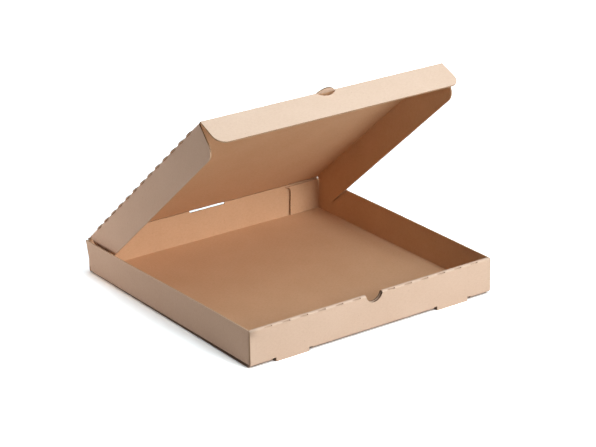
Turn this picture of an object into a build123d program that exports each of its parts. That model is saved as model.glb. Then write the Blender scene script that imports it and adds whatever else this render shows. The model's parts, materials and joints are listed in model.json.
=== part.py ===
from build123d import *
import os

# A pizza box folded from one die-cut blank of thin corrugated board: a tray with a rolled double
# front wall, a lid on the tray's back crease with two side flaps folded down, and the lid's front flap.
# Millimetres, +Z up, front towards -Y, origin on the table under the middle of the tray.

# Board and folds
board = 1.6              # thickness of the corrugated board
inside_radius = 0.4      # inside radius of a folded crease
ply_gap = 0.3            # air between two plies that lie on each other
swing_gap = 0.3          # air round a crease that opens and closes

# Tray
tray_width = 330.0       # outside, left to right
tray_depth = 330.0       # outside, front to back
wall_height = 41.0       # underside of the bottom to the top of the walls

# Feet: pieces of the bottom that stay in line with the front wall and hang below its fold
foot_drop = 3.0          # how far a foot reaches below the bottom
foot_width = 43.5
foot_spacing = 220.0     # middle to middle
foot_relief = 4.5        # length of the cut past each end of a foot
foot_corner = 1.2        # radius of a foot's lower corners
tab_side_gap = 1.0       # air at each end of a locking tab in its slot

# Front wall
notch_radius = 11.5      # half-round thumb notch
notch_rise = 1.5         # centre of the notch above the wall's top
dash_length = 10.0       # cut stretch of the perforated top crease
dash_pitch = 23.5
dash_width = 1.5         # how far a cut stretch gapes
front_corner_length = 40.0   # corner flap trapped inside the double wall, from the side wall's face

# Back corners and hinge crease
rear_corner_length = 45.0    # corner flap in front of the back wall, from the side wall's face
rear_corner_drop = 1.3       # its top edge below the wall's top
rear_corner_flare = 6.5      # radius of the flare at the top of its free end
flare_tip = 0.6              # height of the flare's end
slit_length = 50.0           # cut in the middle of the hinge crease
slit_depth = 2.2
relief_width = 2.8           # corner relief at each end of the hinge crease
relief_depth = 2.4

# Lid
side_tuck = 0.5          # air between a side flap and the tray's side wall
front_tuck = 4.0         # air between the front flap and the tray's front wall when shut
side_floor_gap = 1.5     # air under a side flap when shut
front_floor_gap = 3.5    # air under the front flap when shut
side_front_gap = 3.0     # front crease to the front end of a side flap
side_rear_gap = 4.0      # hinge crease to the rear end of a side flap
flap_corner = 13.0       # radius at the front ends of the flaps
side_rear_corner = 6.5   # radius at the rear ends of the side flaps
front_end_gap = 0.5      # how far the front flap's ends stop short of the lid's edges
lid_dash_length = 13.5   # cut stretch of the perforated side creases
lid_dash_pitch = 21.5
lid_dash_reach = 1.4     # how far a cut stretch stands out past the side flap
lid_dash_groove = 1.0    # depth of the groove under it
pull_width = 25.0        # pull tab cut out of the front flap, along the crease
pull_depth = 6.5
pull_lift = 22.0         # degrees that the tab is bent up from the lid

# Rest pose, in degrees
lid_open = 40.5          # lid above the shut position
front_fold = 64.0        # front flap below the lid's plane

# Places worked out from the sizes
half_width = tray_width / 2
half_depth = tray_depth / 2
crease_radius = board + inside_radius
layer = board + ply_gap
bottom = foot_drop
floor = bottom + board
wall_top = bottom + wall_height
wall_middle = bottom + wall_height / 2
side_inner = half_width - board
roll_width = 2 * layer + board
roll_inner = -half_depth + roll_width
roll_half = side_inner - ply_gap

hinge_y = half_depth - board / 2
hinge_z = wall_top + swing_gap + board / 2
lid_top = hinge_z + board / 2
lid_under = hinge_z - board / 2
lid_half = side_inner - side_tuck
front_crease_y = roll_inner + front_tuck + board / 2
lid_front_y = front_crease_y + board / 2 + swing_gap
side_flap_end = floor + side_floor_gap
side_flap_front_y = front_crease_y + side_front_gap
side_flap_rear_y = hinge_y - side_rear_gap
front_flap_depth = hinge_z - floor - front_floor_gap
front_flap_half = lid_half - front_end_gap

hinge_axis = Axis((0, hinge_y, hinge_z), (1, 0, 0))
front_axis = Axis((0, front_crease_y, hinge_z), (1, 0, 0))


def folded(points):
    """Section of the board folded along points on its outer face. The board and every fold are to the right."""
    outer = [Vector(*point) for point in points]
    across = [(end - start).normalized().rotate(Axis.Z, -90) * board for start, end in zip(outer, outer[1:])]
    inner = [corner + before + after for corner, before, after in zip(outer[1:], across, across[1:])]
    inner = [outer[0] + across[0], *inner, outer[-1] + across[-1]]
    folds = len(points) - 2
    radii = [0, *[crease_radius] * folds, 0, 0, *[inside_radius] * folds, 0]
    return make_face(FilletPolyline(*outer, *reversed(inner), radius=radii, close=True))


def block(x_range, y_range, z_range):
    """Straight cutter between two limits along each axis."""
    sizes = [high - low for low, high in (x_range, y_range, z_range)]
    middles = [(low + high) / 2 for low, high in (x_range, y_range, z_range)]
    return Pos(*middles) * Box(*sizes)


def dash_places(span, pitch, length):
    """Middles of the cut stretches of a perforated crease, spread evenly about its middle."""
    steps = int((span / 2 - length) / pitch)
    return [pitch * step for step in range(-steps, steps + 1)]


def bottom_and_side_folds():
    """Bottom panel with the two side creases."""
    bend_top = bottom + crease_radius
    points = [
        (half_width, bend_top + crease_radius),
        (half_width, bottom),
        (-half_width, bottom),
        (-half_width, bend_top + crease_radius),
    ]
    panel = extrude(Plane.XZ * folded(points), amount=half_depth - crease_radius, both=True)
    return split(panel, Plane.XY.offset(bend_top), keep=Keep.BOTTOM)


def side_wall():
    """Left wall with its corner flaps: one behind the front ply, one in front of the back wall."""
    front_y = -half_depth + layer
    rear_y = half_depth - layer
    base = bottom + crease_radius
    rear_end = -half_width + rear_corner_length
    points = [
        (-half_width + front_corner_length, front_y),
        (-half_width, front_y),
        (-half_width, rear_y),
        (rear_end + rear_corner_flare, rear_y),
    ]
    wall = extrude(Plane.XY.offset(base) * folded(points), amount=wall_top - base)

    # The trapped flap stops below the rolled top, and the rear flap a little below the hinge crease.
    flap_x = (-side_inner, 0)
    wall -= block(flap_x, (front_y, front_y + board), (wall_top - layer, wall_top))
    wall -= block(flap_x, (rear_y - board, rear_y), (wall_top - rear_corner_drop, wall_top))

    # The rear flap's free end flares out at its top.
    flare_z = wall_top - rear_corner_drop - flare_tip
    end_cut = Pos(rear_end, base) * Rectangle(tray_width, flare_z - base, align=(Align.MIN, Align.MIN))
    top_corner = end_cut.vertices().group_by(Axis.Y)[-1].sort_by(Axis.X)[0]
    end_cut = fillet(top_corner, radius=rear_corner_flare)
    end_cut = extrude(Plane.XZ.offset(-rear_y) * end_cut, amount=board)
    return wall - end_cut


def back_wall():
    """Back wall with the slit and the corner reliefs of the hinge crease."""
    points = [
        (half_depth, wall_top),
        (half_depth, bottom),
        (half_depth - 2 * crease_radius, bottom),
    ]
    wall = extrude(Plane.YZ * folded(points), amount=half_width, both=True)
    wall = split(wall, Plane.XZ.offset(crease_radius - half_depth), keep=Keep.BOTTOM)
    through = (half_depth - board, half_depth)
    wall -= block((-slit_length / 2, slit_length / 2), through, (wall_top - slit_depth, wall_top))
    for side in (-1, 1):
        ends = sorted((side * half_width, side * (half_width - relief_width)))
        wall -= block(ends, through, (wall_top - relief_depth, wall_top))
    return wall


def front_wall():
    """Outer ply, perforated top crease, top strip and inner ply, with the thumb notch through all."""
    low_points = [
        (-half_depth + 2 * crease_radius, bottom),
        (-half_depth, bottom),
        (-half_depth, wall_middle),
    ]
    outer_low = extrude(Plane.YZ * folded(low_points), amount=half_width, both=True)
    outer_low = split(outer_low, Plane.XZ.offset(half_depth - crease_radius), keep=Keep.TOP)

    roll_points = [
        (-half_depth, wall_middle),
        (-half_depth, wall_top),
        (roll_inner, wall_top),
        (roll_inner, floor + ply_gap),
    ]
    section = Plane.YZ * folded(roll_points)
    outer_high = extrude(section, amount=half_width, both=True)
    outer_high = split(outer_high, Plane.XZ.offset(half_depth - board), keep=Keep.TOP)
    roll = extrude(section, amount=roll_half, both=True)

    wall = outer_low + outer_high + roll
    fold_centre = Pos(0, crease_radius - half_depth, wall_top - crease_radius)
    gash = fold_centre * Rot(45, 0, 0) * Pos(0, 0, crease_radius) * Box(dash_length, dash_width, 2 * board + ply_gap)
    for x in dash_places(tray_width, dash_pitch, dash_length):
        wall -= Pos(x, 0, 0) * gash
    notch = Plane.XZ.offset(half_depth) * Pos(0, wall_top + notch_rise) * Circle(notch_radius)
    return wall - extrude(notch, amount=-roll_width)


def foot_slot(x):
    """Slot in the front fold that frees a foot and takes a locking tab."""
    half = foot_width / 2 + foot_relief
    return block((x - half, x + half), (-half_depth, roll_inner + ply_gap), (bottom, floor + ply_gap))


def foot_and_tab(x):
    """Foot below the outer ply, and the inner ply's locking tab in the slot behind it."""
    height = floor + crease_radius
    outline = Pos(x, height / 2) * Rectangle(foot_width, height)
    lower_corners = outline.vertices().group_by(Axis.Y)[0]
    outline = fillet(lower_corners, radius=foot_corner)
    foot = extrude(Plane.XZ.offset(half_depth) * outline, amount=-board)
    half = foot_width / 2 - tab_side_gap
    tab = block((x - half, x + half), (roll_inner - board, roll_inner), (bottom, floor + crease_radius))
    return foot + tab


def make_tray():
    """Whole tray, one folded sheet."""
    left = side_wall()
    tray = bottom_and_side_folds() + back_wall() + front_wall() + left + mirror(left, about=Plane.YZ)
    for x in (-foot_spacing / 2, foot_spacing / 2):
        tray = tray - foot_slot(x) + foot_and_tab(x)
    return tray


def make_lid():
    """Lid panel with its pull tab and its two side flaps, one folded sheet, in the shut position."""
    points = [
        (-lid_half, side_flap_end),
        (-lid_half, lid_top),
        (lid_half, lid_top),
        (lid_half, side_flap_end),
    ]
    channel = extrude(Plane.XZ * folded(points), amount=tray_depth, both=True)

    # Seen from the side: the panel ends in a round root on the hinge, and the flaps have round corners.
    panel = Pos((lid_front_y + hinge_y) / 2, hinge_z) * Rectangle(hinge_y - lid_front_y, board)
    root = Pos(hinge_y, hinge_z) * Circle(board / 2)
    flap_length = side_flap_rear_y - side_flap_front_y
    flap_height = lid_top - side_flap_end
    flap_middle = ((side_flap_front_y + side_flap_rear_y) / 2, (lid_top + side_flap_end) / 2)
    flap = Pos(*flap_middle) * Rectangle(flap_length, flap_height)
    lower_corners = flap.vertices().group_by(Axis.Y)[0].sort_by(Axis.X)
    flap = fillet(lower_corners[0], radius=flap_corner)
    rear_corner = flap.vertices().group_by(Axis.Y)[0].sort_by(Axis.X)[-1]
    flap = fillet(rear_corner, radius=side_rear_corner)
    side_view = extrude(Plane.YZ * (panel + root + flap), amount=half_width, both=True)
    lid = channel & side_view

    # Along the cut stretches of the side creases the panel stays flat and stands out past the flap.
    crease_middle = (side_flap_front_y + side_flap_rear_y) / 2
    groove_z = (lid_under - swing_gap, lid_under)
    for place in dash_places(flap_length, lid_dash_pitch, lid_dash_length):
        y = crease_middle + place
        groove_y = (y - lid_dash_length / 2, y + lid_dash_length / 2)
        left_tab = Pos(0, y, 0) * crease_tab()
        left_groove = block((-lid_half, lid_dash_groove - lid_half), groove_y, groove_z)
        lid = lid - left_groove - mirror(left_groove, about=Plane.YZ)
        lid = lid + left_tab + mirror(left_tab, about=Plane.YZ)

    return lid + pull_tab()


def crease_tab():
    """One cut stretch of the left crease: a shallow round tab in the lid's plane."""
    radius = (lid_dash_length**2 / 4 + lid_dash_reach**2) / (2 * lid_dash_reach)
    disc = Pos(radius - lid_dash_reach - lid_half, 0) * Circle(radius)
    tab = split(disc, Plane.YZ.offset(-lid_half), keep=Keep.BOTTOM)
    tab += Pos(crease_radius / 2 - lid_half, 0) * Rectangle(crease_radius, lid_dash_length)
    return extrude(Pos(0, 0, lid_under) * tab, amount=board)


def pull_outline(clearance):
    """Round outline of the pull tab beyond the front crease, grown by a clearance."""
    radius = (pull_width**2 / 4 + pull_depth**2) / (2 * pull_depth)
    disc = Pos(0, front_crease_y + radius - pull_depth) * Circle(radius + clearance)
    return split(disc, Plane.XZ.offset(-front_crease_y), keep=Keep.TOP)


def pull_tab():
    """Pull tab, bent up from the lid at a round root on the front crease."""
    tab = extrude(Pos(0, 0, lid_under) * pull_outline(0), amount=board).rotate(front_axis, -pull_lift)
    root = Plane.YZ * Pos(front_crease_y, hinge_z) * Circle(board / 2)
    neck_x = (-pull_width / 2, pull_width / 2)
    neck = block(neck_x, (front_crease_y, lid_front_y), (lid_under, lid_top))
    return tab + neck + extrude(root, amount=pull_width / 2, both=True)


def make_front_flap():
    """Front flap with a round root on its crease and the opening that the pull tab leaves."""
    middle = (0, front_crease_y - front_flap_depth / 2)
    outline = Pos(*middle) * Rectangle(2 * front_flap_half, front_flap_depth)
    outline = fillet(outline.vertices().group_by(Axis.Y)[0], radius=flap_corner)
    flap = extrude(Pos(0, 0, lid_under) * outline, amount=board)
    root = Plane.YZ * Pos(front_crease_y, hinge_z) * Circle(board / 2)
    flap += extrude(root, amount=front_flap_half, both=True)
    opening = extrude(Pos(0, 0, lid_under) * pull_outline(swing_gap), amount=board)
    root_room = board / 2 + swing_gap
    opening_x = (-pull_width / 2 - swing_gap, pull_width / 2 + swing_gap)
    opening_y = (front_crease_y - root_room, front_crease_y + root_room)
    opening += block(opening_x, opening_y, (lid_under, lid_top))
    return (flap - opening).rotate(front_axis, front_fold)


def main():
    """Build the three pieces in the rest pose and write one file for each."""
    os.makedirs("parts", exist_ok=True)
    pieces = {
        "tray": make_tray(),
        "lid": make_lid().rotate(hinge_axis, -lid_open),
        "lid_front_flap": make_front_flap().rotate(hinge_axis, -lid_open),
    }
    for name, piece in pieces.items():
        export_step(piece, f"parts/{name}.step")


main()
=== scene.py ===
"""Pizza box of thin kraft corrugated board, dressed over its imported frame.

The three CAD nodes give every panel, fold, notch and perforation. This file turns copies of them into
board: a grid fine enough to bend, the small lean, bow and twist of card that stands open, liner and cut
edge told apart, corrugated paper in the cut edges, and the liner that runs on over the two creases.
"""
import json
import math

import bmesh
import bpy
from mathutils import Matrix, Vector
from mathutils.bvhtree import BVHTree
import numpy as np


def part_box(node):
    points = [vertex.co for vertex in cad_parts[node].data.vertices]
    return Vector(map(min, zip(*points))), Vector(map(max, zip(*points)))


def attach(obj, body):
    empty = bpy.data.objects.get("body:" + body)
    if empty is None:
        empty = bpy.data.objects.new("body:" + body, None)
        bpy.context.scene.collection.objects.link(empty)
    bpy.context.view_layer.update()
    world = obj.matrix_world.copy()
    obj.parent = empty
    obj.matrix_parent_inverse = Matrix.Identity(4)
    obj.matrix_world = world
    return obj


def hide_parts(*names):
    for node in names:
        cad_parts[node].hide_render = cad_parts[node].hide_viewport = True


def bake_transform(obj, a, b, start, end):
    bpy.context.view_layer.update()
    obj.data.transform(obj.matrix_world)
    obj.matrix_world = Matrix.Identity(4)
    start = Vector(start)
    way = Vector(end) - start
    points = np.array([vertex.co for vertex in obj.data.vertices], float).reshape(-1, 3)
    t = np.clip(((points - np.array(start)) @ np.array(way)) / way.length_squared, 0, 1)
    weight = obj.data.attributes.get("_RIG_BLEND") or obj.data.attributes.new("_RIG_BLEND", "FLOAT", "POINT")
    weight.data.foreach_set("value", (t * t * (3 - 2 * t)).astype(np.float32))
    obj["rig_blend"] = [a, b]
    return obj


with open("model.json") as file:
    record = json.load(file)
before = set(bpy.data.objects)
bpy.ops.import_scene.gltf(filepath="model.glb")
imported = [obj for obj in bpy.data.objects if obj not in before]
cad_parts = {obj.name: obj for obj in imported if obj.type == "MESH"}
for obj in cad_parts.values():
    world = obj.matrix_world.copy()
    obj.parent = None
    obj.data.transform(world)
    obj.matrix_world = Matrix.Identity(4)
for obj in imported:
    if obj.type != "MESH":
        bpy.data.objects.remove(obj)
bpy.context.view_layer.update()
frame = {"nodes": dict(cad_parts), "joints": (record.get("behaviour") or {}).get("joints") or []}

bl_info = {
    "name": "Kraft Pizza Box",
    "version": (1, 0, 0),
    "blender": (4, 5, 0),
    "location": "3D View > Sidebar > Pizza Box",
    "description": "Dresses the packed frame of a folded kraft pizza box and sets its stage",
    "category": "Object",
}

MM = 0.001
PHOTO_WIDTH = 596
SENSOR_MM = 36.0

JOINTS = {joint["name"]: joint for joint in frame["joints"]}
HINGE = Vector(JOINTS["lid_hinge"]["pos_m"])
CREASE = Vector(JOINTS["front_flap_fold"]["pos_m"])
LID_LENGTH = (CREASE - HINGE).length
TRAY_LOW, TRAY_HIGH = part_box("tray")
TRAY_HALF = TRAY_HIGH.x
LID_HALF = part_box("lid")[1].x
FLAP_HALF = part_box("lid_front_flap")[1].x

# The lid as it is cut: slit of the hinge crease, pull tab, air round a crease, and the hanging front flap
SLIT_HALF = 25.0 * MM
PULL_HALF = 12.5 * MM
SWING_GAP = 0.3 * MM
FLAP_FOLD = math.radians(64)
FLAP_DEPTH = 37.0 * MM

# The small tabs of the lid's side creases stand out past LID_SIDE, and their roots are TAB_ROOT long
LID_SIDE = LID_HALF - 1.4 * MM
TAB_ROOT = 0.1 * MM

# The tray as it is folded: bottom panel above the feet, side walls, corner flaps, rolled front and notch
PANEL_BOTTOM = 3.0 * MM
PANEL_TOP = 4.6 * MM
SIDE_INNER = 161.0 * MM
CORNER_FLAP_ZONE = (160.0 * MM, 163.25 * MM)
CORNER_FLAP_END = 100.0 * MM
ROLL_BACK = -159.0 * MM
NOTCH_HALF = 12.0 * MM
NOTCH_LOW = TRAY_HIGH.z - 11.0 * MM

# So near a crease, the end of a panel is a fold and not a cut
FOLD_REACH = 2.0 * MM

# How the card has settled: the stretch over which a side wall's lean grows, the share of the lid's length
# past which its twist stops growing, and the share of it that the lower edges of the side flaps don't follow
LEAN_RUN = (-100.0 * MM, 165.0 * MM)
TWIST_LIMIT = 1.1
TWIST_EASE = 0.35

# Mesh work: distances, the reach of a ray through the board in thicknesses, and flat and sharp angles
MERGE_DISTANCE = 0.001 * MM
CUT_SNAP = 0.02 * MM
RAY_START = 0.01 * MM
RAY_REACH = 1.25
FLAT_ANGLE = math.radians(0.3)
SHARP_ANGLE = math.radians(35)

# Cosines at which a face looks along a way and an edge crosses the waves, and the least sine of edge to sheet
LOOKS_ALONG = 0.7
CROSSES_WAVES = 0.5
LEAST_TURN = 0.2

# Order of the materials on a piece of board
OUTER, INNER, CUT = range(3)

# The wave keeps this many paper thicknesses from the outside of the board
WAVE_MARGIN = 1.4

# Stage in metres: half of the floor, the point that the lamps look at, and each lamp's place and size
FLOOR_REACH = 6.0
LAMP_AIM = (0.0, 0.0, 0.08)
LAMPS = {
    "key_lamp": ((0.55, -1.8, 0.96), 1.0),
    "top_lamp": ((0.0, 0.2, 1.95), 0.9),
    "front_lamp": ((0.1, -0.8, 1.7), 0.9),
    "fill_lamp": ((-0.55, 0.65, 0.09), 0.16),
}
WHITE = (1.0, 1.0, 1.0)

# The floor's glow grows over the first run from the origin, and its lift over the second past the tray's
# sides; short of that run the lift is left off, a painted contact shade round the box's foot
GLOW_RUN = (0.3, 1.2)
CONTACT_SHADE_RUN = {"X": (-1.0 * MM, 1.5 * MM), "Y": (-6.0 * MM, -2.0 * MM)}


def linear(code):
    """The linear red, green and blue of an sRGB hex colour."""
    values = [int(code[place:place + 2], 16) / 255 for place in (1, 3, 5)]
    return tuple(v / 12.92 if v <= 0.04045 else ((v + 0.055) / 1.055) ** 2.4 for v in values)


def smooth(start, end, value):
    """0 before start, 1 after end, and an even rise between them."""
    share = min(max((value - start) / (end - start), 0.0), 1.0)
    return share * share * (3 - 2 * share)


class BoardSizes(bpy.types.PropertyGroup):
    """Sizes of the board and of the way the folded card has moved."""

    thickness: bpy.props.FloatProperty(
        name="Board Thickness", description="Thickness of the corrugated board",
        default=1.6 * MM, min=0.8 * MM, max=4 * MM, unit="LENGTH", precision=4)
    flute_pitch: bpy.props.FloatProperty(
        name="Flute Pitch", description="Distance from one wave of the corrugated paper to the next",
        default=3.2 * MM, min=1 * MM, max=10 * MM, unit="LENGTH", precision=4)
    paper: bpy.props.FloatProperty(
        name="Paper Thickness", description="Thickness of the corrugated paper where it shows in a cut edge",
        default=0.3 * MM, min=0.1 * MM, max=0.6 * MM, unit="LENGTH", precision=5)
    grid: bpy.props.FloatProperty(
        name="Bending Grid", description="Spacing of the cuts that let a panel bend",
        default=12 * MM, min=4 * MM, max=40 * MM, unit="LENGTH", precision=4)
    wall_lean: bpy.props.FloatProperty(
        name="Left Wall Lean", description="How far the left wall leans out at the back",
        default=5.0 * MM, min=0.0, max=10 * MM, unit="LENGTH", precision=4)
    wall_lean_right: bpy.props.FloatProperty(
        name="Right Wall Lean", description="How far the right wall leans out at the back",
        default=0.8 * MM, min=0.0, max=8 * MM, unit="LENGTH", precision=4)
    wall_bow: bpy.props.FloatProperty(
        name="Wall Bow", description="How far the side walls bow out in the middle",
        default=0.7 * MM, min=0.0, max=4 * MM, unit="LENGTH", precision=4)
    flap_stand: bpy.props.FloatProperty(
        name="Corner Flap Stand",
        description="How far the free end of a rear corner flap stands off the back wall",
        default=1.8 * MM, min=0.0, max=6 * MM, unit="LENGTH", precision=4)
    lid_twist: bpy.props.FloatProperty(
        name="Lid Twist", description="How far the lid's left front corner stands up and its right one hangs",
        default=0.2 * MM, min=0.0, max=5 * MM, unit="LENGTH", precision=4)
    lid_crown: bpy.props.FloatProperty(
        name="Lid Crown", description="How far the middle of the lid swells outwards",
        default=1.2 * MM, min=0.0, max=6 * MM, unit="LENGTH", precision=4)


class BoardColours(bpy.types.PropertyGroup):
    """Colours of the kraft paper."""

    outside: bpy.props.FloatVectorProperty(
        name="Outer Liner", description="Smooth pale kraft paper on the outside of the box",
        subtype="COLOR", default=linear("#D6BDA8"), min=0.0, max=1.0)
    outside_fibres: bpy.props.FloatVectorProperty(
        name="Outer Fibres", description="Darker fibres and clouds in the outer liner",
        subtype="COLOR", default=linear("#C6A991"), min=0.0, max=1.0)
    # The inner liner is the same kraft as the outer one; its browner colour is painted bounce light, for the
    # warm light that bounces inside the box
    inside: bpy.props.FloatVectorProperty(
        name="Inner Liner", description="Browner kraft paper on the inside of the box",
        subtype="COLOR", default=linear("#D5AE8A"), min=0.0, max=1.0)
    inside_fibres: bpy.props.FloatVectorProperty(
        name="Inner Fibres", description="Darker fibres and clouds in the inner liner",
        subtype="COLOR", default=linear("#C39873"), min=0.0, max=1.0)
    fleck: bpy.props.FloatVectorProperty(
        name="Flecks", description="Small bits of bark in the pulp",
        subtype="COLOR", default=linear("#8E6A4E"), min=0.0, max=1.0)
    cut: bpy.props.FloatVectorProperty(
        name="Cut Edge", description="Paper of the cut edge",
        subtype="COLOR", default=linear("#C9A98B"), min=0.0, max=1.0)
    # Painted shade: the dark of the open hollows between the waves, painted on the flat cut edge
    hollow: bpy.props.FloatVectorProperty(
        name="Hollows", description="Shade between the waves in a cut edge",
        subtype="COLOR", default=linear("#4A3524"), min=0.0, max=1.0)


class StageSettings(bpy.types.PropertyGroup):
    """Camera, lamps and floor."""

    azimuth: bpy.props.FloatProperty(
        name="Azimuth", description="Turn of the camera round the box from its front",
        default=math.radians(-35.42), subtype="ANGLE")
    elevation: bpy.props.FloatProperty(
        name="Elevation", description="Height of the camera above the table as an angle",
        default=math.radians(21.75), subtype="ANGLE")
    roll: bpy.props.FloatProperty(
        name="Roll", description="Turn of the camera round its own view",
        default=math.radians(-0.88), subtype="ANGLE")
    distance: bpy.props.FloatProperty(
        name="Distance", description="Distance from the camera to the point it looks at",
        default=2628 * MM, unit="LENGTH")
    target: bpy.props.FloatVectorProperty(
        name="Target", description="Point that the camera looks at",
        subtype="TRANSLATION", default=(16.6 * MM, 0.0, 70.0 * MM))
    focal_pixels: bpy.props.FloatProperty(
        name="Focal Length", description="Focal length in pixels of the 596 pixel wide picture",
        default=2300.0, min=100.0)
    floor: bpy.props.FloatVectorProperty(
        name="Floor", description="Pale studio floor",
        subtype="COLOR", default=linear("#C6BAB0"), min=0.0, max=1.0)
    floor_white: bpy.props.FloatProperty(
        name="Floor White",
        description="Brightness of the floor to the camera alone, so that it reads as white",
        default=1.95, min=0.0, max=4.0)
    floor_tint: bpy.props.FloatVectorProperty(
        name="Floor Tint",
        description="Cool tint of the floor to the camera alone, which shows in the shadow",
        subtype="COLOR", default=linear("#F4F9FA"), min=0.0, max=1.0)
    floor_glow: bpy.props.FloatProperty(
        name="Floor Glow",
        description="Light added where the camera sees the floor far from the box",
        default=1.0, min=0.0, max=1.0)
    key: bpy.props.FloatProperty(
        name="Key Lamp", description="Power of the soft lamp at the front right", default=37.0, min=0.0)
    top: bpy.props.FloatProperty(
        name="Top Lamp", description="Power of the soft lamp overhead", default=17.6, min=0.0)
    front: bpy.props.FloatProperty(
        name="Front Lamp", description="Power of the soft lamp high up at the front", default=9.5, min=0.0)
    fill: bpy.props.FloatProperty(
        name="Fill Lamp", description="Power of the soft lamp at the back left", default=2.8, min=0.0)
    room: bpy.props.FloatProperty(
        name="Room Light", description="Strength of the even light of the room", default=0.02, min=0.0)
    top_tint: bpy.props.FloatVectorProperty(
        name="Top Lamp Colour", description="Cool daylight of the two lamps overhead",
        subtype="COLOR", default=linear("#E9F5FC"), min=0.0, max=1.0)
    fill_tint: bpy.props.FloatVectorProperty(
        name="Fill Colour", description="Warm light of the fill lamp and the room",
        subtype="COLOR", default=linear("#FFEEE6"), min=0.0, max=1.0)


def add_node(tree, kind, settings=None, inputs=None):
    """One node with its settings; an input is a value, or the socket that feeds it."""
    node = tree.nodes.new(kind)
    for name, value in (settings or {}).items():
        setattr(node, name, value)
    for name, value in (inputs or {}).items():
        if isinstance(value, bpy.types.NodeSocket):
            tree.links.new(value, node.inputs[name])
        else:
            node.inputs[name].default_value = value
    return node


def new_material(name):
    """An empty material with a surface shader on its output."""
    material = bpy.data.materials.new(name)
    material.use_nodes = True
    tree = material.node_tree
    tree.nodes.clear()
    shader = add_node(tree, "ShaderNodeBsdfPrincipled")
    add_node(tree, "ShaderNodeOutputMaterial", inputs={"Surface": shader.outputs["BSDF"]})
    return material, tree, shader


def kraft_liner(name, paper_colour, fibre_colour, fleck_colour, sizes):
    """Kraft liner: unbleached wood pulp, machine-made and left bare, so it is matt and full of fine fibres.

    The eye sees a warm even brown, soft clouds in it, short fibres, a few bark flecks, and the faint
    washboard of the waves glued under the paper.
    """
    if name in bpy.data.materials:
        return bpy.data.materials[name]
    material, tree, shader = new_material(name)
    place = add_node(tree, "ShaderNodeTexCoord").outputs["Object"]
    board = add_node(tree, "ShaderNodeUVMap", {"uv_map": "board"}).outputs["UV"]
    # Clouds of pulp about 45 mm across
    clouds = add_node(tree, "ShaderNodeTexNoise", inputs={
        "Vector": place, "Scale": 1 / (45 * MM), "Detail": 3.0, "Roughness": 0.55})
    # Fibres are about 3 mm long and far thinner than a pixel; they are drawn 5 by 0.7 mm so that they show
    stretch = add_node(tree, "ShaderNodeMapping", inputs={
        "Vector": board, "Scale": (1 / (0.7 * MM), 1 / (5 * MM), 1.0)})
    fibres = add_node(tree, "ShaderNodeTexNoise", inputs={
        "Vector": stretch.outputs["Vector"], "Scale": 1.0, "Detail": 4.0, "Roughness": 0.6})
    # Mottle of the felt side, about 2 mm
    mottle = add_node(tree, "ShaderNodeTexNoise", inputs={
        "Vector": place, "Scale": 1 / (2.2 * MM), "Detail": 2.0, "Roughness": 0.6})
    cloud_share = add_node(tree, "ShaderNodeMapRange", inputs={
        "Value": clouds.outputs["Fac"], "From Min": 0.35, "From Max": 0.7, "To Min": 0.0, "To Max": 0.22})
    fibre_share = add_node(tree, "ShaderNodeMapRange", inputs={
        "Value": fibres.outputs["Fac"], "From Min": 0.45, "From Max": 0.75, "To Min": 0.0, "To Max": 0.4})
    mottle_share = add_node(tree, "ShaderNodeMapRange", inputs={
        "Value": mottle.outputs["Fac"], "From Min": 0.4, "From Max": 0.7, "To Min": 0.0, "To Max": 0.2})
    shade = add_node(tree, "ShaderNodeMath", {"operation": "ADD"}, {
        0: cloud_share.outputs["Result"], 1: fibre_share.outputs["Result"]})
    shade = add_node(tree, "ShaderNodeMath", {"operation": "ADD", "use_clamp": True}, {
        0: shade.outputs["Value"], 1: mottle_share.outputs["Result"]})
    paper = add_node(tree, "ShaderNodeMix", {"data_type": "RGBA"}, {
        "Factor": shade.outputs["Value"], 6: (*paper_colour, 1.0), 7: (*fibre_colour, 1.0)})
    # Bark flecks about 1 mm across, a few to the square decimetre
    cells = add_node(tree, "ShaderNodeTexVoronoi", inputs={"Vector": place, "Scale": 1 / (14 * MM)})
    fleck_share = add_node(tree, "ShaderNodeMapRange", inputs={
        "Value": cells.outputs["Distance"], "From Min": 0.03, "From Max": 0.06,
        "To Min": 0.25, "To Max": 0.0})
    speckled = add_node(tree, "ShaderNodeMix", {"data_type": "RGBA"}, {
        "Factor": fleck_share.outputs["Result"], 6: paper.outputs[2], 7: (*fleck_colour, 1.0)})
    tree.links.new(speckled.outputs[2], shader.inputs["Base Color"])
    # Washboard: the paper sinks a few hundredths of a millimetre between the waves
    turns = 2 * math.pi / sizes.flute_pitch
    across = add_node(tree, "ShaderNodeSeparateXYZ", inputs={"Vector": board})
    phase = add_node(tree, "ShaderNodeMath", {"operation": "MULTIPLY"}, {0: across.outputs["Y"], 1: turns})
    ridge = add_node(tree, "ShaderNodeMath", {"operation": "SINE"}, {0: phase.outputs["Value"]})
    height = add_node(tree, "ShaderNodeMath", {"operation": "MULTIPLY_ADD"}, {
        0: ridge.outputs["Value"], 1: 0.35, 2: fibres.outputs["Fac"]})
    bump = add_node(tree, "ShaderNodeBump", inputs={
        "Strength": 0.35, "Distance": 0.05 * MM, "Height": height.outputs["Value"]})
    tree.links.new(bump.outputs["Normal"], shader.inputs["Normal"])
    sheen = add_node(tree, "ShaderNodeMapRange", inputs={
        "Value": mottle.outputs["Fac"], "From Min": 0.3, "From Max": 0.7, "To Min": 0.72, "To Max": 0.86})
    tree.links.new(sheen.outputs["Result"], shader.inputs["Roughness"])
    shader.inputs["IOR"].default_value = 1.5
    shader.inputs["Specular IOR Level"].default_value = 0.35
    return material


def outer_liner(colours, sizes):
    """Liner of the outside: smoother and paler."""
    return kraft_liner("kraft_outer_liner", colours.outside, colours.outside_fibres, colours.fleck, sizes)


def inner_liner(colours, sizes):
    """Liner of the inside: the same kraft, made browner as painted bounce light from inside the box."""
    return kraft_liner("kraft_inner_liner", colours.inside, colours.inside_fibres, colours.fleck, sizes)


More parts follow.
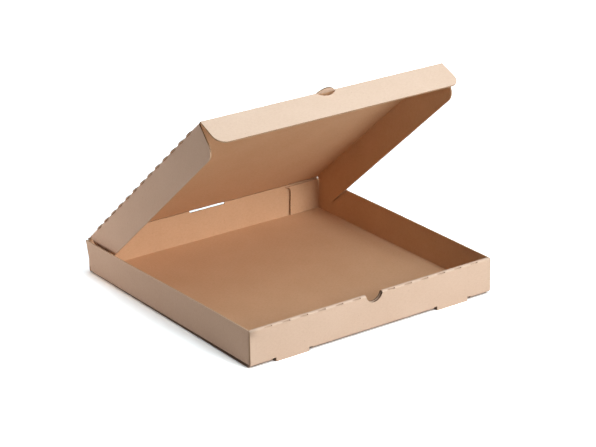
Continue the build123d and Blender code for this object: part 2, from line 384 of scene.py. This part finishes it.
def cut_board(colours):
    """Cut edge of the board: two liners and a wave of paper, bare and a little torn.

    The eye sees two pale lines, with dark hollows between them where the cut crosses the waves; the edge is
    flat, so the shade of the hollows is painted on it, behind the wave of paper.
    """
    if "cut_board" in bpy.data.materials:
        return bpy.data.materials["cut_board"]
    material, tree, shader = new_material("cut_board")
    place = add_node(tree, "ShaderNodeTexCoord").outputs["Object"]
    through = add_node(tree, "ShaderNodeAttribute", {"attribute_name": "through"}).outputs["Fac"]
    middle = add_node(tree, "ShaderNodeMath", {"operation": "SUBTRACT"}, {0: through, 1: 0.5})
    depth = add_node(tree, "ShaderNodeMath", {"operation": "ABSOLUTE"}, {0: middle.outputs["Value"]})
    liner_share = add_node(tree, "ShaderNodeMapRange", inputs={
        "Value": depth.outputs["Value"], "From Min": 0.28, "From Max": 0.38, "To Min": 0.0, "To Max": 1.0})
    # Torn fibres left by the die, about 1 mm
    torn = add_node(tree, "ShaderNodeTexNoise", inputs={
        "Vector": place, "Scale": 1 / (1.2 * MM), "Detail": 2.0})
    torn_share = add_node(tree, "ShaderNodeMapRange", inputs={
        "Value": torn.outputs["Fac"], "From Min": 0.35, "From Max": 0.7, "To Min": 0.0, "To Max": 0.35})
    # Where the die cut along a wave, the side of the wave closes the edge and no hollow shows, so the painted
    # shade is mostly left off
    open_share = add_node(tree, "ShaderNodeAttribute", {"attribute_name": "fluted"}).outputs["Fac"]
    closed = add_node(tree, "ShaderNodeMapRange", inputs={
        "Value": open_share, "From Min": 0.0, "From Max": 1.0, "To Min": 0.85, "To Max": 0.0})
    filled = add_node(tree, "ShaderNodeMath", {"operation": "MAXIMUM"}, {
        0: torn_share.outputs["Result"], 1: closed.outputs["Result"]})
    # Painted shade: the core of the edge mixes in the dark hollow colour, for the shade inside the open waves
    core = add_node(tree, "ShaderNodeMix", {"data_type": "RGBA"}, {
        "Factor": filled.outputs["Value"], 6: (*colours.hollow, 1.0), 7: (*colours.cut, 1.0)})
    edge = add_node(tree, "ShaderNodeMix", {"data_type": "RGBA"}, {
        "Factor": liner_share.outputs["Result"], 6: core.outputs[2], 7: (*colours.cut, 1.0)})
    tree.links.new(edge.outputs[2], shader.inputs["Base Color"])
    shader.inputs["Roughness"].default_value = 0.9
    shader.inputs["Specular IOR Level"].default_value = 0.2
    return material


def panel_axes(body):
    """Where a body's flat panel starts, the way it runs and the way its outside looks, at rest."""
    if body == "tray":
        return Vector((0, 0, 0)), Vector((0, 1, 0)), Vector((0, 0, 1))
    along = (CREASE - HINGE).normalized()
    out = Vector((0, -along.z, along.y)) * -1
    if body == "lid":
        return HINGE, along, out
    flap_along = along * math.cos(FLAP_FOLD) - out * math.sin(FLAP_FOLD)
    return CREASE, flap_along, along * math.sin(FLAP_FOLD) + out * math.cos(FLAP_FOLD)


def panel_place(body, point):
    """A point as width, run and height on a body's flat panel."""
    start, along, out = panel_axes(body)
    step = point - start
    return point.x, step.dot(along), step.dot(out)


def is_corner_flap(body, point):
    """True on the rear corner flaps of the tray, which stand just in front of the back wall."""
    low, high = CORNER_FLAP_ZONE
    return body == "tray" and low < point.y < high and abs(point.x) > CORNER_FLAP_END


def is_notch(body, point):
    """True in the thumb notch of the rolled front wall."""
    return body == "tray" and point.y < ROLL_BACK and abs(point.x) < NOTCH_HALF and point.z > NOTCH_LOW


def is_fold(body, point):
    """True at the end of a panel where the real board runs on over a crease, and under the feet."""
    width, run, height = panel_place(body, point)
    if body == "tray":
        on_back = point.y > CORNER_FLAP_ZONE[1] and abs(width) > SLIT_HALF
        return height < FOLD_REACH or (on_back and height > TRAY_HIGH.z - FOLD_REACH)
    if body == "lid" and run > LID_LENGTH - FOLD_REACH:
        return abs(width) > PULL_HALF + SWING_GAP and abs(height) < FOLD_REACH
    return run < FOLD_REACH


def settled(body, point, sizes):
    """Where a point of the square folded blank lies in a box that has stood open, leant and bowed."""
    if body == "tray":
        height = point.z - PANEL_TOP
        on_side = abs(point.x) > SIDE_INNER or is_corner_flap(body, point)
        if height <= 0 or not on_side or point.y > CORNER_FLAP_ZONE[1]:
            return point.copy()
        share = height / (TRAY_HIGH.z - PANEL_TOP)
        lean = sizes.wall_lean if point.x < 0 else sizes.wall_lean_right
        lean *= smooth(*LEAN_RUN, point.y)
        bow = sizes.wall_bow * max(math.cos(math.pi * point.y / (2 * TRAY_HALF)), 0.0)
        stand = 0.0
        if is_corner_flap(body, point):
            free = min(max((SIDE_INNER - abs(point.x)) / (SIDE_INNER - CORNER_FLAP_END), 0.0), 1.0)
            stand = sizes.flap_stand * free ** 2
        return point + Vector((math.copysign((lean + bow) * share, point.x), -stand, 0))
    width, run, height = panel_place("lid", point)
    out = panel_axes("lid")[2]
    run_share = min(max(run / LID_LENGTH, 0.0), TWIST_LIMIT)
    width_share = width / LID_HALF
    hang = min(max(-height / FLAP_DEPTH, 0.0), 1.0)
    lift = -sizes.lid_twist * width_share * run_share * (1 - TWIST_EASE * hang)
    if body == "lid":
        lift += sizes.lid_crown * max(1 - width_share ** 2, 0.0) * math.sin(math.pi * min(run_share, 1.0))
        # The underside of a crushed tab doesn't sink, so that it clears the wall's top when the lid is shut
        if abs(width) > LID_SIDE + TAB_ROOT and height < 0:
            lift = max(lift, 0.0)
    return point + out * lift


def cut_planes(bm, way, start, low, high, step):
    """Cuts every face along planes a step apart, square to a way, so that the panels can bend."""
    count = int((high - low) / step)
    for number in range(1, count + 1):
        plane = start + way * (low + number * (high - low) / (count + 1))
        bmesh.ops.bisect_plane(
            bm, geom=bm.verts[:] + bm.edges[:] + bm.faces[:], dist=CUT_SNAP, plane_co=plane, plane_no=way)


def flute_way(body, sheet, point):
    """The way the waves run in a panel: front to back in the blank, so upright in a folded front or back."""
    along, out = panel_axes(body)[1:]
    if abs(sheet.dot(along)) > LOOKS_ALONG:
        return Vector((1, 0, 0)) if is_corner_flap(body, point) else out
    return along


def board_uv(body, normal, point):
    """A point's place on the board in metres: along the waves, then across them."""
    width, run, height = panel_place(body, point)
    along = panel_axes(body)[1]
    if abs(normal.x) > LOOKS_ALONG:
        return run, height
    if abs(normal.dot(along)) > LOOKS_ALONG:
        return (width, height) if is_corner_flap(body, point) else (height, width)
    return run, width


def inner_middle(body):
    """A point in the space that a body's inner faces look at."""
    start, along, out = panel_axes(body)
    if body == "tray":
        return Vector((0, 0, (PANEL_TOP + TRAY_HIGH.z) / 2))
    reach = LID_LENGTH / 2 if body == "lid" else FLAP_DEPTH / 2
    return start + along * reach - out * FLAP_DEPTH / 2


def mark_board(bm, body, sizes):
    """Tells liner from cut edge, and writes the board's own coordinates on every face."""
    uv_layer = bm.loops.layers.uv.new("board")
    through_layer = bm.loops.layers.float.new("through")
    fluted_layer = bm.faces.layers.int.new("fluted")
    bm.normal_update()
    tree = BVHTree.FromBMesh(bm)
    limit = sizes.thickness * RAY_REACH
    cut = set()
    for face in bm.faces:
        centre = face.calc_center_median()
        hit = tree.ray_cast(centre - face.normal * RAY_START, -face.normal, limit)
        if hit[0] is None:
            cut.add(face)
    middle = inner_middle(body)
    for face in bm.faces:
        face.smooth = True
        centre = face.calc_center_median()
        # The die crushes the small tabs of the side creases, so their edge is all liner
        crushed = body == "lid" and abs(centre.x) > LID_SIDE
        face.material_index = CUT if face in cut and not crushed else OUTER
        turned_over = body == "tray" and centre.y < ROLL_BACK and centre.z > PANEL_TOP
        if face not in cut and not turned_over and face.normal.dot(centre - middle) < 0:
            face.material_index = INNER
        for loop in face.loops:
            loop[uv_layer].uv = board_uv(body, face.normal, loop.vert.co)
        if face not in cut:
            continue
        beside = [(edge.calc_length(), other) for edge in face.edges
                  for other in edge.link_faces if other not in cut]
        if not beside:
            continue
        sheet = max(beside, key=lambda item: item[0])[1].normal
        way = face.normal.cross(sheet)
        if way.length < LEAST_TURN:
            continue
        closed = crushed or is_fold(body, centre)
        if not closed and abs(way.normalized().dot(flute_way(body, sheet, centre))) < CROSSES_WAVES:
            face[fluted_layer] = 1
        if is_notch(body, centre):
            # Painted shade: the whole cut edge of the notch takes the dark hollow colour, for the shade in
            # the gap between its two plies
            face[fluted_layer] = 1
            for loop in face.loops:
                loop[through_layer] = 0.5
            continue
        for loop in face.loops:
            loop[through_layer] = 1.0 if (loop.vert.co - centre).dot(sheet) > 0 else 0.0


def dress(context, body, name):
    """Makes a copy of a CAD node, cut into a bending grid, settled, and given its liner and cut edges."""
    sizes = context.scene.pizza_box_sizes
    colours = context.scene.pizza_box_colours
    bm = bmesh.new()
    bm.from_mesh(frame["nodes"][body].data)
    bmesh.ops.remove_doubles(bm, verts=bm.verts, dist=MERGE_DISTANCE)
    bmesh.ops.dissolve_limit(bm, angle_limit=FLAT_ANGLE, verts=bm.verts, edges=bm.edges)
    start, along, out = panel_axes(body)
    places = [panel_place(body, vert.co) for vert in bm.verts]
    ways = (Vector((1, 0, 0)), along, out)
    for axis, way in enumerate(ways):
        low = min(place[axis] for place in places)
        high = max(place[axis] for place in places)
        cut_planes(bm, way, start if axis else Vector(), low, high, sizes.grid)
    bmesh.ops.triangulate(bm, faces=[face for face in bm.faces if len(face.verts) > 4])
    mark_board(bm, body, sizes)
    for vert in bm.verts:
        vert.co = settled(body, vert.co, sizes)
    mesh = bpy.data.meshes.new(name)
    bm.to_mesh(mesh)
    bm.free()
    mesh.materials.append(outer_liner(colours, sizes))
    mesh.materials.append(inner_liner(colours, sizes))
    mesh.materials.append(cut_board(colours))
    mesh.set_sharp_from_angle(angle=SHARP_ANGLE)
    piece = bpy.data.objects.new(name, mesh)
    context.scene.collection.objects.link(piece)
    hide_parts(body)
    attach(piece, body)


class PIZZABOX_OT_tray(bpy.types.Operator):
    """Makes the tray: bottom panel, walls, rolled front, corner flaps and feet"""

    bl_idname = "pizzabox.tray"
    bl_label = "Tray"

    def execute(self, context):
        dress(context, "tray", "tray_board")
        return {"FINISHED"}


class PIZZABOX_OT_lid(bpy.types.Operator):
    """Makes the lid with its two side flaps and its pull tab"""

    bl_idname = "pizzabox.lid"
    bl_label = "Lid"

    def execute(self, context):
        dress(context, "lid", "lid_board")
        return {"FINISHED"}


class PIZZABOX_OT_front_flap(bpy.types.Operator):
    """Makes the front flap of the lid"""

    bl_idname = "pizzabox.front_flap"
    bl_label = "Front Flap of the Lid"

    def execute(self, context):
        dress(context, "lid_front_flap", "front_flap_board")
        return {"FINISHED"}


def liner_strip(context, name, body, span, section, place, sizes, colours):
    """A thin strip of outer liner: a four-cornered section drawn along the width of the box."""
    start, end = span
    count = max(int(abs(end - start) / sizes.grid), 1)
    widths = [start + (end - start) * step / count for step in range(count + 1)]
    verts = [settled(body, place(width, *corner), sizes) for width in widths for corner in section]
    faces = [(3, 2, 1, 0), tuple(4 * count + corner for corner in range(4))]
    for step in range(count):
        for corner in range(4):
            beside = (corner + 1) % 4
            faces.append((4 * step + corner, 4 * step + beside, 4 * step + 4 + beside, 4 * step + 4 + corner))
    mesh = bpy.data.meshes.new(name)
    mesh.from_pydata(verts, [], faces)
    layer = mesh.uv_layers.new(name="board")
    for loop in mesh.loops:
        width, run, height = panel_place(body, mesh.vertices[loop.vertex_index].co)
        layer.data[loop.index].uv = (run + height, width)
    mesh.materials.append(outer_liner(colours, sizes))
    piece = bpy.data.objects.new(name, mesh)
    context.scene.collection.objects.link(piece)
    return piece


class PIZZABOX_OT_creases(bpy.types.Operator):
    """Makes the outer liner where it runs on over the hinge crease and the front crease of the lid"""

    bl_idname = "pizzabox.creases"
    bl_label = "Liner over the Creases"

    def execute(self, context):
        sizes = context.scene.pizza_box_sizes
        colours = context.scene.pizza_box_colours
        half = sizes.thickness / 2
        # How far a strip sinks into the board, stands proud of it, laps a panel and stops short of an edge
        sink = 0.3 * MM
        proud = 0.05 * MM
        hinge_lap = 2.6 * MM
        front_lap = 1.0 * MM
        bend_lap = 0.9 * MM
        short = 2 * proud
        # On the back wall, from below the corner relief up to the lid's root
        back = TRAY_HIGH.y
        low = TRAY_HIGH.z - hinge_lap
        high = TRAY_HIGH.z + SWING_GAP - short
        hinge = ((back - sink, low), (back + proud, low), (back + proud, high), (back - sink, high))
        # On the lid's panel, over the gap in front of the flap's root, and under it
        end = LID_LENGTH - half - SWING_GAP
        above = ((end - front_lap, half - sink), (LID_LENGTH - short, half),
                 (LID_LENGTH - short, half + proud), (end - front_lap, half + proud))
        below = ((end - front_lap, -half - proud), (LID_LENGTH - half - proud, -half - proud),
                 (LID_LENGTH - half - proud, -half), (end - front_lap, sink - half))
        start, along, out = panel_axes("lid")

        def on_tray(width, run, height):
            return Vector((width, run, height))

        def on_lid(width, run, height):
            return Vector((width, 0, 0)) + start + along * run + out * height

        bend_start = on_lid(0, end - bend_lap, 0)
        bend_end = on_lid(0, LID_LENGTH - half - short, 0)
        for side, way in (("left", -1), ("right", 1)):
            span = (way * (SLIT_HALF + short), way * (TRAY_HALF - short))
            strip = liner_strip(context, "hinge_liner_" + side, "tray", span, hinge, on_tray, sizes, colours)
            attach(strip, "tray")
            span = (way * (PULL_HALF + SWING_GAP), way * FLAP_HALF)
            for face, section in (("top", above), ("under", below)):
                name = "front_liner_" + face + "_" + side
                strip = liner_strip(context, name, "lid", span, section, on_lid, sizes, colours)
                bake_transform(strip, "lid", "lid_front_flap", start=tuple(bend_start), end=tuple(bend_end))
        return {"FINISHED"}


def edge_lines(piece):
    """The middle lines of a piece's fluted cut edges, with the way through the board at each point."""
    shortest = 12 * MM
    proud = 0.02 * MM
    bm = bmesh.new()
    bm.from_mesh(piece.data)
    fluted_layer = bm.faces.layers.int["fluted"]
    through_layer = bm.loops.layers.float["through"]
    points = {}
    lines = []
    for face in bm.faces:
        if not face[fluted_layer] or len(face.verts) != 4:
            continue
        side = {loop.vert: loop[through_layer] > 0.5 for loop in face.loops}
        ends = [edge for edge in face.edges if side[edge.verts[0]] != side[edge.verts[1]]]
        if len(ends) != 2:
            continue
        keys = []
        for edge in ends:
            inner, outer = sorted(edge.verts, key=lambda vert: side[vert])
            middle = (inner.co + outer.co) / 2 + face.normal * proud
            points.setdefault(edge.index, (middle, (outer.co - inner.co).normalized()))
            keys.append(edge.index)
        lines.append(tuple(keys))
    bm.free()
    group = {key: key for key in points}

    def root(key):
        while group[key] != key:
            key = group[key]
        return key

    for first, second in lines:
        group[root(first)] = root(second)
    lengths = {}
    for first, second in lines:
        step = (points[first][0] - points[second][0]).length
        lengths[root(first)] = lengths.get(root(first), 0.0) + step
    kept = [line for line in lines if lengths[root(line[0])] > shortest]
    order = {}
    for line in kept:
        for key in line:
            order.setdefault(key, len(order))
    mesh = bpy.data.meshes.new(piece.name + "_edge_lines")
    mesh.from_pydata([points[key][0] for key in order], [(order[a], order[b]) for a, b in kept], [])
    ways = mesh.attributes.new("through_way", "FLOAT_VECTOR", "POINT")
    for number, key in enumerate(order):
        ways.data[number].vector = points[key][1]
    return mesh


def wave_tree():
    """Geometry nodes that turn edge lines into the wave of corrugated paper between the liners."""
    if "corrugated_wave" in bpy.data.node_groups:
        return bpy.data.node_groups["corrugated_wave"]
    tree = bpy.data.node_groups.new("corrugated_wave", "GeometryNodeTree")
    socket = tree.interface.new_socket
    socket("Geometry", in_out="INPUT", socket_type="NodeSocketGeometry")
    socket("Flute Pitch", in_out="INPUT", socket_type="NodeSocketFloat")
    socket("Wave Height", in_out="INPUT", socket_type="NodeSocketFloat")
    socket("Paper Thickness", in_out="INPUT", socket_type="NodeSocketFloat")
    socket("Material", in_out="INPUT", socket_type="NodeSocketMaterial")
    socket("Geometry", in_out="OUTPUT", socket_type="NodeSocketGeometry")
    given = add_node(tree, "NodeGroupInput").outputs
    points_a_wave = 8
    step = add_node(tree, "ShaderNodeMath", {"operation": "DIVIDE"}, {
        0: given["Flute Pitch"], 1: float(points_a_wave)})
    curve = add_node(tree, "GeometryNodeMeshToCurve", inputs={"Mesh": given["Geometry"]})
    even = add_node(tree, "GeometryNodeResampleCurve", {"mode": "LENGTH"}, {
        "Curve": curve.outputs["Curve"], "Length": step.outputs["Value"]})
    run = add_node(tree, "GeometryNodeSplineParameter").outputs["Length"]
    waves = add_node(tree, "ShaderNodeMath", {"operation": "DIVIDE"}, {0: run, 1: given["Flute Pitch"]})
    phase = add_node(tree, "ShaderNodeMath", {"operation": "MULTIPLY"}, {
        0: waves.outputs["Value"], 1: 2 * math.pi})
    swing = add_node(tree, "ShaderNodeMath", {"operation": "SINE"}, {0: phase.outputs["Value"]})
    reach = add_node(tree, "ShaderNodeMath", {"operation": "MULTIPLY"}, {
        0: swing.outputs["Value"], 1: given["Wave Height"]})
    through = add_node(tree, "GeometryNodeInputNamedAttribute", {"data_type": "FLOAT_VECTOR"}, {
        "Name": "through_way"})
    shift = add_node(tree, "ShaderNodeVectorMath", {"operation": "SCALE"}, {
        0: through.outputs["Attribute"], "Scale": reach.outputs["Value"]})
    bent = add_node(tree, "GeometryNodeSetPosition", inputs={
        "Geometry": even.outputs["Curve"], "Offset": shift.outputs["Vector"]})
    profile = add_node(tree, "GeometryNodeCurvePrimitiveQuadrilateral", inputs={
        "Width": given["Paper Thickness"], "Height": given["Paper Thickness"]})
    paper = add_node(tree, "GeometryNodeCurveToMesh", inputs={
        "Curve": bent.outputs["Geometry"], "Profile Curve": profile.outputs["Curve"], "Fill Caps": True})
    whole = add_node(tree, "GeometryNodeRealizeInstances", inputs={"Geometry": paper.outputs["Mesh"]})
    painted = add_node(tree, "GeometryNodeSetMaterial", inputs={
        "Geometry": whole.outputs["Geometry"], "Material": given["Material"]})
    add_node(tree, "NodeGroupOutput", inputs={"Geometry": painted.outputs["Geometry"]})
    return tree


class PIZZABOX_OT_flutes(bpy.types.Operator):
    """Makes the waves of corrugated paper that show in the cut edges"""

    bl_idname = "pizzabox.flutes"
    bl_label = "Waves in the Cut Edges"

    def execute(self, context):
        sizes = context.scene.pizza_box_sizes
        colours = context.scene.pizza_box_colours
        tree = wave_tree()
        sockets = {item.name: item.identifier for item in tree.interface.items_tree if item.in_out == "INPUT"}
        for body, board, name in (
                ("tray", "tray_board", "tray_edge_waves"),
                ("lid", "lid_board", "lid_edge_waves"),
                ("lid_front_flap", "front_flap_board", "front_flap_edge_waves")):
            lines = edge_lines(bpy.data.objects[board])
            if not lines.edges:
                raise RuntimeError("no fluted cut edge on " + board)
            maker = bpy.data.objects.new(name + "_lines", lines)
            context.scene.collection.objects.link(maker)
            modifier = maker.modifiers.new("Waves", "NODES")
            modifier.node_group = tree
            modifier[sockets["Flute Pitch"]] = sizes.flute_pitch
            modifier[sockets["Wave Height"]] = sizes.thickness / 2 - WAVE_MARGIN * sizes.paper
            modifier[sockets["Paper Thickness"]] = sizes.paper
            modifier[sockets["Material"]] = cut_board(colours)
            graph = context.evaluated_depsgraph_get()
            mesh = bpy.data.meshes.new_from_object(maker.evaluated_get(graph))
            maker.modifiers.clear()
            bpy.data.objects.remove(maker)
            mesh.name = name
            through = mesh.attributes.get("through") or mesh.attributes.new("through", "FLOAT", "POINT")
            through.data.foreach_set("value", [0.0] * len(through.data))
            piece = bpy.data.objects.new(name, mesh)
            context.scene.collection.objects.link(piece)
            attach(piece, body)
        return {"FINISHED"}


class PIZZABOX_OT_stage(bpy.types.Operator):
    """Makes the floor, the lamps, the room light and the camera"""

    bl_idname = "pizzabox.stage"
    bl_label = "Stage"

    def execute(self, context):
        stage = context.scene.pizza_box_stage
        # The box stands on its two feet and on the fold under the back wall, 3 mm higher
        slope = PANEL_BOTTOM / (TRAY_HIGH.y - TRAY_LOW.y)
        low, high = -FLOOR_REACH, FLOOR_REACH
        square = ((low, low), (high, low), (high, high), (low, high))
        corners = [(x, y, (y - TRAY_LOW.y) * slope) for x, y in square]
        mesh = bpy.data.meshes.new("floor")
        mesh.from_pydata(corners, [], [(0, 1, 2, 3)])
        floor = bpy.data.objects.new("floor", mesh)
        context.scene.collection.objects.link(floor)
        mesh.materials.append(self.floor_sheet(stage))

        self.lamp(context, "key_lamp", stage.key, WHITE)
        self.lamp(context, "top_lamp", stage.top, stage.top_tint)
        self.lamp(context, "front_lamp", stage.front, stage.top_tint)
        self.lamp(context, "fill_lamp", stage.fill, stage.fill_tint)

        world = bpy.data.worlds.new("room")
        context.scene.world = world
        world.use_nodes = True
        tree = world.node_tree
        tree.nodes.clear()
        seen = self.seen_share(tree)
        room = add_node(tree, "ShaderNodeBackground", inputs={
            "Color": (*stage.fill_tint, 1.0), "Strength": stage.room})
        white = add_node(tree, "ShaderNodeBackground", inputs={"Color": (*WHITE, 1.0), "Strength": 1.0})
        mixed = add_node(tree, "ShaderNodeMixShader", inputs={
            "Fac": seen, 1: room.outputs["Background"], 2: white.outputs["Background"]})
        add_node(tree, "ShaderNodeOutputWorld", inputs={"Surface": mixed.outputs["Shader"]})

        camera = bpy.data.cameras.new("camera")
        camera.sensor_width = SENSOR_MM
        camera.lens = stage.focal_pixels * SENSOR_MM / PHOTO_WIDTH
        holder = bpy.data.objects.new("camera", camera)
        context.scene.collection.objects.link(holder)
        turn, lift, roll = stage.azimuth, stage.elevation, stage.roll
        back = Vector((math.sin(turn) * math.cos(lift), -math.cos(turn) * math.cos(lift), math.sin(lift)))
        right = Vector((math.cos(turn), math.sin(turn), 0))
        up = back.cross(right)
        side = right * math.cos(roll) + up * math.sin(roll)
        upright = up * math.cos(roll) - right * math.sin(roll)
        matrix = holder.matrix_world.copy()
        matrix.col[0][:3] = side
        matrix.col[1][:3] = upright
        matrix.col[2][:3] = back
        matrix.col[3][:3] = Vector(stage.target) + back * stage.distance
        holder.matrix_world = matrix
        context.scene.camera = holder
        context.scene.view_settings.view_transform = "Standard"
        return {"FINISHED"}

    def seen_share(self, tree):
        """1 where the camera, a gloss or a clear surface sees the background, 0 for its light."""
        path = add_node(tree, "ShaderNodeLightPath").outputs
        first = add_node(tree, "ShaderNodeMath", {"operation": "MAXIMUM"}, {
            0: path["Is Camera Ray"], 1: path["Is Glossy Ray"]})
        return add_node(tree, "ShaderNodeMath", {"operation": "MAXIMUM"}, {
            0: first.outputs["Value"], 1: path["Is Transmission Ray"]}).outputs["Value"]

    def floor_sheet(self, stage):
        """Paper sweep of a studio: matt white, lifted to white for the eye alone, so it keeps the shadow."""
        material = bpy.data.materials.new("floor_sheet")
        material.use_nodes = True
        tree = material.node_tree
        tree.nodes.clear()
        paper = add_node(tree, "ShaderNodeBsdfDiffuse", inputs={"Color": (*stage.floor, 1.0)})
        half = [part * stage.floor_white / 2 for part in stage.floor_tint]
        white = add_node(tree, "ShaderNodeBsdfDiffuse", inputs={"Color": (*half, 1.0)})
        bright = add_node(tree, "ShaderNodeAddShader", inputs={
            0: white.outputs["BSDF"], 1: white.outputs["BSDF"]})
        place = add_node(tree, "ShaderNodeTexCoord").outputs["Object"]
        far = add_node(tree, "ShaderNodeVectorMath", {"operation": "LENGTH"}, {0: place})
        share = add_node(tree, "ShaderNodeMapRange", {"interpolation_type": "SMOOTHSTEP"}, {
            "Value": far.outputs["Value"], "From Min": GLOW_RUN[0], "From Max": GLOW_RUN[1],
            "To Min": 0.0, "To Max": stage.floor_glow})
        glow = add_node(tree, "ShaderNodeEmission", inputs={
            "Color": (*WHITE, 1.0), "Strength": share.outputs["Result"]})
        lifted = add_node(tree, "ShaderNodeAddShader", inputs={
            0: bright.outputs["Shader"], 1: glow.outputs["Emission"]})
        # Painted contact shade: under the box and up to just past its left and right sides the floor keeps
        # less lift, so that the gap beneath its edges is dark
        across = add_node(tree, "ShaderNodeSeparateXYZ", inputs={"Vector": place})
        clear = []
        for axis, (low, high) in CONTACT_SHADE_RUN.items():
            away = add_node(tree, "ShaderNodeMath", {"operation": "ABSOLUTE"}, {0: across.outputs[axis]})
            clear.append(add_node(tree, "ShaderNodeMapRange", inputs={
                "Value": away.outputs["Value"], "From Min": TRAY_HALF + low, "From Max": TRAY_HALF + high,
                "To Min": 0.0, "To Max": 1.0}))
        beside = add_node(tree, "ShaderNodeMath", {"operation": "MAXIMUM"}, {
            0: clear[0].outputs["Result"], 1: clear[1].outputs["Result"]})
        shown = add_node(tree, "ShaderNodeMath", {"operation": "MULTIPLY"}, {
            0: self.seen_share(tree), 1: beside.outputs["Value"]})
        mixed = add_node(tree, "ShaderNodeMixShader", inputs={
            "Fac": shown.outputs["Value"], 1: paper.outputs["BSDF"], 2: lifted.outputs["Shader"]})
        add_node(tree, "ShaderNodeOutputMaterial", inputs={"Surface": mixed.outputs["Shader"]})
        return material

    def lamp(self, context, name, power, tint):
        """Makes a square soft lamp that looks at the box."""
        place, size = LAMPS[name]
        light = bpy.data.lights.new(name, "AREA")
        light.shape = "SQUARE"
        light.size = size
        light.energy = power
        light.color = tint
        holder = bpy.data.objects.new(name, light)
        context.scene.collection.objects.link(holder)
        holder.visible_camera = False
        holder.location = place
        holder.rotation_euler = (Vector(LAMP_AIM) - Vector(place)).to_track_quat("-Z", "Y").to_euler()


OPERATORS = (
    PIZZABOX_OT_tray, PIZZABOX_OT_lid, PIZZABOX_OT_front_flap, PIZZABOX_OT_creases, PIZZABOX_OT_flutes,
    PIZZABOX_OT_stage)


class PIZZABOX_PT_panel(bpy.types.Panel):
    """Pizza box: its pieces, sizes, colours and stage"""

    bl_idname = "PIZZABOX_PT_panel"
    bl_label = "Pizza Box"
    bl_space_type = "VIEW_3D"
    bl_region_type = "UI"
    bl_category = "Pizza Box"

    def draw(self, context):
        for operator in OPERATORS:
            self.layout.operator(operator.bl_idname)
        for group in (context.scene.pizza_box_sizes, context.scene.pizza_box_colours,
                      context.scene.pizza_box_stage):
            column = self.layout.column()
            for name in group.__annotations__:
                column.prop(group, name)


CLASSES = (BoardSizes, BoardColours, StageSettings, *OPERATORS, PIZZABOX_PT_panel)


def register():
    """Registers the classes and hangs their settings on the scene."""
    for item in CLASSES:
        bpy.utils.register_class(item)
    bpy.types.Scene.pizza_box_sizes = bpy.props.PointerProperty(type=BoardSizes)
    bpy.types.Scene.pizza_box_colours = bpy.props.PointerProperty(type=BoardColours)
    bpy.types.Scene.pizza_box_stage = bpy.props.PointerProperty(type=StageSettings)


def unregister():
    """Takes the settings off the scene and the classes out again."""
    del bpy.types.Scene.pizza_box_stage
    del bpy.types.Scene.pizza_box_colours
    del bpy.types.Scene.pizza_box_sizes
    for item in reversed(CLASSES):
        bpy.utils.unregister_class(item)


def main():
    """Makes the box and its stage."""
    register()
    bpy.ops.pizzabox.tray()
    bpy.ops.pizzabox.lid()
    bpy.ops.pizzabox.front_flap()
    bpy.ops.pizzabox.creases()
    bpy.ops.pizzabox.flutes()
    bpy.ops.pizzabox.stage()


if __name__ == "__main__":
    main()
